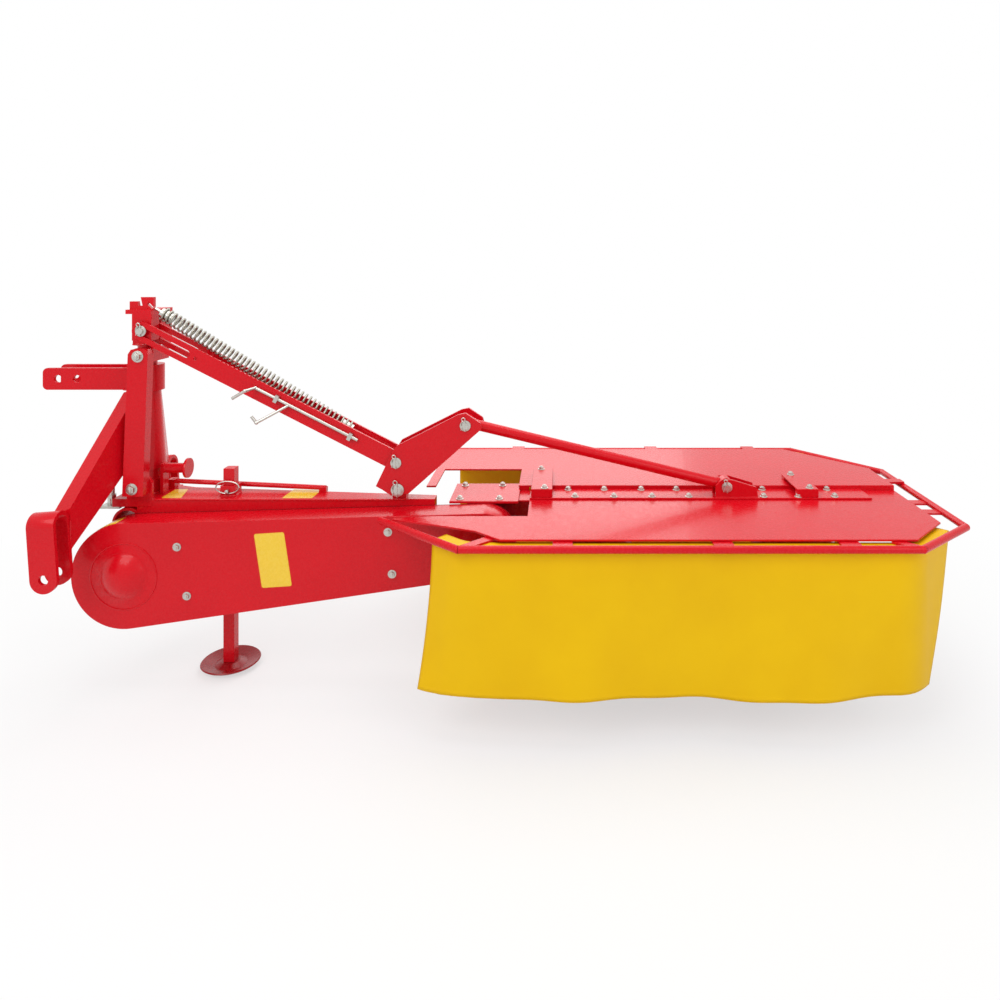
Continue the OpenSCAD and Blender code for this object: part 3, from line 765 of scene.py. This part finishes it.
@dataclass
class HitchFrame:
    """Tapered box legs, welded seams and the grease point of the swinging hitch."""

    foot: Flat = (-112, 288)
    root_y: float = 12.0
    half_width: float = 27.6
    end_y: float = 283.0
    profile: tuple[Flat, ...] = ((10, 905), (59, 905), (324, 537), (324, 425), (42, 715), (10, 715))
    bracket_edges: Flat = (-135, -75)
    bracket_span: Flat = (462, 560)
    plate_edges: Flat = (913, 983)
    plate_span: Flat = (-52, -12)
    plate_y: float = 52.0
    sleeve_top: float = 906.0
    sleeve_r: float = 0.0535
    nipple_z: float = 700.0
    nipple_way: Place = (-0.8, -0.6, 0.0)
    nipple_rings: Rings = ((0.0, 0.006), (0.005, 0.006), (0.0055, 0.0035), (0.012, 0.0035), (0.014, 0.002))

    def build(self) -> None:
        """Make the hitch's legs, seams and grease nipple."""
        for side, node in ((-1, "near_leg"), (1, "far_leg")):
            self._leg(side, node)
        self._seams()

    def _leg(self, side: int, node: str) -> None:
        """Make one leg as a box that deepens towards the sleeve.

        Args:
            side: -1 near the viewer, 1 on the far side.
            node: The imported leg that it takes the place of.
        """
        way = Vector((self.foot[0], side * self.foot[1], 0.0)).normalized()
        across = way.cross(UP)
        root = at(0, side * self.root_y, 0) - across * (self.half_width / 1000)
        leg = Mesher()
        leg.plate([root + way * (run / 1000) + UP * (z / 1000) for run, z in self.profile], across,
                  2 * self.half_width / 1000, 0.003)
        bmesh.ops.bisect_plane(leg.bm, geom=[*leg.bm.verts, *leg.bm.edges, *leg.bm.faces], clear_outer=True,
                               plane_co=at(0, side * self.end_y, 0), plane_no=(0, side, 0))
        bmesh.ops.holes_fill(leg.bm, edges=[e for e in leg.bm.edges if e.is_boundary], sides=0)
        piece = leg.finish(node + "_box", RED_PAINT, Body.HITCH, Slot.RED)
        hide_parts(node)

    def _seams(self) -> None:
        """Make the hitch's seams and its grease nipple."""
        seams = Mesher()
        low, high = self.bracket_span
        back, front = self.plate_span
        for side in (-1, 1):
            y = side * self.end_y
            for x in self.bracket_edges:
                seams.bead(at(x, y, low), at(x, y, high))
            y = side * self.plate_y
            for z in self.plate_edges:
                seams.bead(at(back, y, z), at(front, y, z), 0.0045)
        seams.ring_bead(at(0, 0, self.sleeve_top), UP, 0.0425, 0.004)
        seams.finish("hitch_welds", RED_PAINT, Body.HITCH, Slot.RED)
        nipple = Mesher()
        out = Vector(self.nipple_way)
        nipple.turned(at(0, 0, self.nipple_z) + out * self.sleeve_r, out, self.nipple_rings, 16)
        nipple.finish("grease_nipple", ZINC, Body.HITCH, Slot.ZINC)


@dataclass
class LiftLinkage:
    """Float spring, pin clips and seams of the lift linkage."""

    hook: Flat = (76, 1178)
    elbow: Flat = (865, 691)
    link: Flat = (1087, 810)
    lug: Flat = (1942, 590)
    mid_y: float = -78.0
    lug_y: float = -20.0
    crank_pin_end: float = -127.0
    lug_pin_end: float = -52.0
    pin_r: float = 0.010
    tube_r: float = 0.0175
    eye_reach: Flat = (0.0235, 0.0275)
    coil_r: float = 0.0205
    wire_r: float = 0.0034
    coils: int = 46
    coil_steps: int = 20
    coil_span: Flat = (0.020, 0.742)

    def build(self) -> None:
        """Make the spring, the clips and the seams."""
        self._spring()
        crank = Mesher()
        for x, z in (self.elbow, self.link):
            crank.clip(at(x, self.crank_pin_end, z), NEAR, self.pin_r)
        crank.finish("crank_clips", ZINC, Body.CRANK, Slot.ZINC)
        lug = Mesher()
        lug.clip(at(self.lug[0], self.lug_pin_end, self.lug[1]), NEAR, self.pin_r)
        lug.finish("lug_clip", ZINC, Body.CUTTER, Slot.ZINC)
        seams = Mesher()
        upper = at(self.link[0], self.mid_y, self.link[1])
        lower = at(self.lug[0], self.lug_y, self.lug[1])
        along = (lower - upper).normalized()
        for place in (upper + along * self.eye_reach[0], lower - along * self.eye_reach[1]):
            seams.ring_bead(place, along, self.tube_r, 0.0035)
        seams.finish("link_welds", RED_PAINT, Body.LINK, Slot.RED)

    def _spring(self) -> None:
        """Wind the float spring as a round wire on a helix, shortening towards the elbow."""
        start = at(self.hook[0], self.mid_y, self.hook[1])
        end = at(self.elbow[0], self.mid_y, self.elbow[1])
        along = (end - start).normalized()
        coil = Mesher()
        steps = self.coils * self.coil_steps
        pitch = (self.coil_span[1] - self.coil_span[0]) / steps
        place = Matrix.Translation((self.coil_r, 0, self.coil_span[0]))
        begin = place @ Matrix.Rotation(math.pi / 2, 4, "X")
        circle = bmesh.ops.create_circle(coil.bm, cap_ends=False, segments=10, radius=self.wire_r,
                                         matrix=begin)
        edges = list({e for v in circle["verts"] for e in v.link_edges})
        bmesh.ops.spin(coil.bm, geom=[*circle["verts"], *edges], cent=(0, 0, 0), axis=(0, 0, 1),
                       dvec=(0, 0, pitch), angle=2 * math.pi * self.coils, steps=steps, use_merge=False,
                       use_duplicate=False)
        bmesh.ops.holes_fill(coil.bm, edges=[e for e in coil.bm.edges if e.is_boundary], sides=12)
        turn = UP.rotation_difference(along).to_matrix().to_4x4()
        bmesh.ops.transform(coil.bm, matrix=Matrix.Translation(start) @ turn, verts=coil.bm.verts)
        piece = coil.finish("float_spring_wire", CHROME, Body.ARM, Slot.ZINC, 60.0)
        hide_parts("float_spring")
        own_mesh(piece)


@dataclass
class GuardDeck:
    """Bolts and seams of the guard deck."""

    deck_top: float = 557.0
    near_y: float = -45.0
    near_row: tuple[float, ...] = (1440, 1569, 1695, 1817, 2065, 2180, 2300)
    far_y: float = 30.0
    far_row: tuple[float, ...] = (1418, 1541, 1667, 1787, 2080, 2300)
    plate_top: float = 559.0
    plate_bolts: tuple[Flat, ...] = ((1063, -75), (1192, -75), (1063, 70), (1192, 70))
    strap_top: float = 584.0
    strap_bolts: tuple[Flat, ...] = ((1339, -39), (1323, 185), (2219, -39), (2203, 115))
    bracket_span: Flat = (1906, 2044)
    bracket_edges: Flat = (-52, 12)
    tabs: tuple[float, ...] = (1398, 1849, 2206)
    tab_half: float = 28.0
    tab_span: Flat = (-458, -446)
    tab_z: float = 545.5

    def build(self) -> None:
        """Make the deck's bolts and seams."""
        places = [(x, self.near_y, self.deck_top) for x in self.near_row]
        places += [(x, self.far_y, self.deck_top) for x in self.far_row]
        places += [(x, y, self.plate_top) for x, y in self.plate_bolts]
        places += [(x, y, self.strap_top) for x, y in self.strap_bolts]
        bolts = Mesher()
        for place in places:
            bolts.bolt(at(*place), UP, 0.016)
        bolts.finish("deck_bolts", ZINC, Body.CUTTER, Slot.ZINC)
        seams = Mesher()
        inner, outer = self.bracket_span
        for y in self.bracket_edges:
            seams.bead(at(inner, y, self.deck_top + 0.5), at(outer, y, self.deck_top + 0.5), 0.0035)
        near, far = self.tab_span
        for tab in self.tabs:
            for x in (tab - self.tab_half, tab + self.tab_half):
                seams.bead(at(x, near, self.tab_z), at(x, far, self.tab_z), 0.003)
        seams.finish("deck_welds", RED_PAINT, Body.CUTTER, Slot.RED)


@dataclass
class Curtain:
    """One coated cloth curtain, folded in under the deck and hanging in slow waves."""

    name: str
    node: str
    path: tuple[Flat, ...]
    side: float
    top: float
    flange: float
    drop: float
    waves: tuple[tuple[float, float, float], ...]
    trim_end: float = 0.0
    flare: float = 0.0
    flare_reach: float = 0.08
    soft: float = 0.05
    sag: float = 0.0006
    hem: float = 0.004
    thick: float = 0.0024

    def _point(self, run: float) -> tuple[Vector, Vector]:
        """Point and outward direction at a distance along the path.

        Args:
            run: Distance from the start, in metres.

        Returns:
            The point at floor level and the outward direction.
        """
        points = [at(x, y, 0) for x, y in self.path]
        lengths = [(b - a).length for a, b in zip(points, points[1:])]
        total = sum(lengths)
        found, ways = Vector((0, 0, 0)), Vector((0, 0, 0))
        for k in (-2, -1, 0, 1, 2):
            left = min(max(run + k * self.soft / 2, 0.0), total - 1e-6)
            for a, b, length in zip(points, points[1:], lengths):
                if left <= length:
                    found += a.lerp(b, left / length)
                    ways += (b - a).normalized()
                    break
                left -= length
        found, ways = found / 5, ways.normalized()
        if run < self.soft or run > total - self.soft:
            left = run
            for a, b, length in zip(points, points[1:], lengths):
                if left <= length or b is points[-1]:
                    found, ways = a.lerp(b, left / length), (b - a).normalized()
                    break
                left -= length
        return found, Vector((ways.y, -ways.x, 0.0)) * self.side

    def build(self) -> None:
        """Cut the sheet, fold its top edge in and hang it in waves."""
        points = [at(x, y, 0) for x, y in self.path]
        total = sum((b - a).length for a, b in zip(points, points[1:]))
        sheet = Mesher()
        bmesh.ops.create_grid(sheet.bm, x_segments=150, y_segments=44, size=0.5)
        for vert in sheet.bm.verts:
            share, depth = vert.co.x + 0.5, (0.5 - vert.co.y) * (self.flange + self.drop)
            fall = max(0.0, depth - self.flange) / self.drop
            place = (total - self.trim_end * fall) * share
            spot, out = self._point(place)
            if depth <= self.flange:
                spot = spot - out * (self.flange - depth)
                vert.co = (spot.x, spot.y, self.top - self.sag * math.sin(depth / self.flange * math.pi))
            else:
                run = place / total
                push = sum(size * math.sin(2 * math.pi * (count * run + phase))
                           for size, count, phase in self.waves)
                push += self.flare * math.exp(-((run / self.flare_reach) ** 2))
                lean = push * (0.25 * fall + 0.75 * fall * fall)
                spot = spot + out * lean
                hem = self.hem * math.sin(9 * run) * fall
                vert.co = (spot.x, spot.y, self.top - self.drop * fall + hem)
        piece = sheet.finish(self.name, CLOTH, Body.CUTTER, Slot.CLOTH, 80.0)
        solid = piece.modifiers.new("cloth_thickness", "SOLIDIFY")
        solid.thickness = self.thick
        solid.offset = 0.0
        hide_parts(self.node)


@dataclass
class Rotors:
    """Blade bolts of the cutting discs."""

    drums: tuple[tuple[float, float, Body], ...] = ((1497, 0, Body.DRUM_IN), (2172, 60, Body.DRUM_OUT))
    blades: int = 3
    bolt_r: float = 274.0
    disc_top: float = 101.0
    disc_under: float = 86.0
    head_rings: Rings = ((0.0, 0.014), (0.003, 0.013), (0.005, 0.008))

    def build(self) -> None:
        """Make the blade bolts of both drums."""
        for middle, phase, drum in self.drums:
            bolts = Mesher()
            for k in range(self.blades):
                turn = math.radians(phase + 360 / self.blades * k)
                x, y = middle + self.bolt_r * math.cos(turn), self.bolt_r * math.sin(turn)
                bolts.bolt(at(x, y, self.disc_top), UP, 0.02)
                bolts.turned(at(x, y, self.disc_under), -UP, self.head_rings, 20)
            bolts.finish(drum.value + "_bolts", ZINC, drum, Slot.ZINC)


class Studio:
    """Camera, light and pale floor."""

    target: Place = (0.1, 0.0, 0.5)
    lamps: tuple[tuple[str, Place, float, float], ...] = (
        ("key", (-2.2, -3.6, 4.2), 110.0, 3.0), ("fill", (3.6, -3.2, 2.6), 48.0, 3.0),
        ("top", (0.2, 0.6, 4.8), 115.0, 4.0), ("back", (0.0, 4.2, 3.0), 40.0, 3.0))

    @staticmethod
    def camera() -> None:
        """Set the camera where the photograph was taken."""
        data = bpy.data.cameras.new("camera")
        data.lens, data.sensor_width = 27.0, 36.0
        data.shift_x, data.shift_y = -0.06, -0.24
        eye = bpy.data.objects.new("camera", data)
        eye.location = (0.24485, -2.598, 1.341)
        eye.rotation_euler = (math.radians(90), 0, 0)
        bpy.context.scene.collection.objects.link(eye)
        bpy.context.scene.camera = eye

    @staticmethod
    def _seen(kit: NodeKit) -> bpy.types.NodeSocket:
        """Mask of the rays that see the background directly or in a gloss.

        Args:
            kit: The tree that the mask is built in.

        Returns:
            The mask's socket.
        """
        path = kit.add("ShaderNodeLightPath")
        first = kit.add("ShaderNodeMath", operation="MAXIMUM")
        kit.wire(path.outputs["Is Camera Ray"], first.inputs[0])
        kit.wire(path.outputs["Is Glossy Ray"], first.inputs[1])
        both = kit.add("ShaderNodeMath", operation="MAXIMUM")
        kit.wire(first.outputs[0], both.inputs[0])
        kit.wire(path.outputs["Is Transmission Ray"], both.inputs[1])
        return both.outputs[0]

    @classmethod
    def world(cls) -> None:
        """Soft sky that shows as plain white."""
        world = bpy.data.worlds.new("studio")
        bpy.context.scene.world = world
        world.use_nodes = True
        kit = NodeKit(world.node_tree)
        shade = world.node_tree.nodes["Background"]
        shade.inputs["Color"].default_value = (1.0, 1.0, 1.0, 1.0)
        kit.wire(kit.ramp(cls._seen(kit), 0.0, 1.0, 0.45, 1.0), shade.inputs["Strength"])

    @classmethod
    def floor(cls) -> None:
        """Pale floor that keeps the shadow, fades into the white and is clear from below."""
        bm = bmesh.new()
        bmesh.ops.create_grid(bm, x_segments=1, y_segments=1, size=14.0)
        mesh = bpy.data.meshes.new("floor")
        bm.to_mesh(mesh)
        bm.free()
        floor = bpy.data.objects.new("floor", mesh)
        floor.location.z = -0.0005
        bpy.context.scene.collection.objects.link(floor)
        material = bpy.data.materials.new("pale_floor")
        material.use_nodes = True
        kit = NodeKit(material.node_tree)
        out = material.node_tree.nodes["Material Output"]
        base = material.node_tree.nodes["Principled BSDF"]
        base.inputs["Base Color"].default_value = (0.86, 0.86, 0.86, 1.0)
        base.inputs["Roughness"].default_value = 0.8
        glow = kit.add("ShaderNodeEmission", Strength=1.0)
        both = kit.add("ShaderNodeMixShader")
        reach = kit.add("ShaderNodeVectorMath", operation="LENGTH")
        kit.wire(kit.add("ShaderNodeTexCoord").outputs["Object"], reach.inputs[0])
        share = kit.add("ShaderNodeMath", operation="MULTIPLY")
        kit.wire(kit.ramp(reach.outputs["Value"], 0.9, 2.6, 0.6, 1.0), share.inputs[0])
        kit.wire(cls._seen(kit), share.inputs[1])
        kit.wire(share.outputs[0], both.inputs[0])
        kit.wire(base.outputs[0], both.inputs[1])
        kit.wire(glow.outputs[0], both.inputs[2])
        below = kit.add("ShaderNodeMixShader")
        kit.wire(kit.add("ShaderNodeNewGeometry").outputs["Backfacing"], below.inputs[0])
        kit.wire(both.outputs[0], below.inputs[1])
        kit.wire(kit.add("ShaderNodeBsdfTransparent").outputs[0], below.inputs[2])
        kit.wire(below.outputs[0], out.inputs["Surface"])
        mesh.materials.append(material)

    @classmethod
    def lights(cls) -> None:
        """Large soft lamps over and beside the machine."""
        for name, place, energy, size in cls.lamps:
            data = bpy.data.lights.new(name, "AREA")
            data.energy, data.size = energy, size
            lamp = bpy.data.objects.new(name, data)
            lamp.location = place
            aim = Vector(cls.target) - Vector(place)
            lamp.rotation_euler = aim.to_track_quat("-Z", "Y").to_euler()
            bpy.context.scene.collection.objects.link(lamp)

    def build(self) -> None:
        """Set up camera, world, floor and lamps."""
        bpy.context.scene.view_settings.view_transform = "Standard"
        self.camera()
        self.world()
        self.floor()
        self.lights()


def curtains() -> list[Curtain]:
    """The near and far curtains.

    Returns:
        Both curtains, ready to build.
    """
    near = Curtain(
        name="near_curtain_cloth", node="near_curtain",
        path=((1024, -373), (1112, -450), (2386, -450), (2544, -303)), side=1.0,
        top=0.5374, flange=0.052, drop=0.406,
        waves=((0.014, 0.0, 0.25), (0.018, 2.44, -0.36), (0.004, 7.0, 0.3)), trim_end=0.14, flare=0.05)
    far = Curtain(
        name="far_curtain_cloth", node="far_curtain",
        path=((975, 588), (2338, 588), (2538, 330)), side=-1.0,
        top=0.5524, flange=0.05, drop=0.421,
        waves=((0.015, 2.2, 0.1), (0.008, 4.1, 0.4), (0.004, 7.0, 0.2)), trim_end=0.03)
    return [near, far]


def main() -> None:
    """Build and dress every sub-assembly in order."""
    logging.basicConfig(level=logging.INFO, format="%(name)s: %(message)s")
    Studio().build()
    PaintedFrame().dress(frame["nodes"])
    BeltDrive().build()
    BeamTop().build()
    HitchFrame().build()
    LiftLinkage().build()
    GuardDeck().build()
    for curtain in curtains():
        curtain.build()
    Rotors().build()


if __name__ == "__main__":
    main()
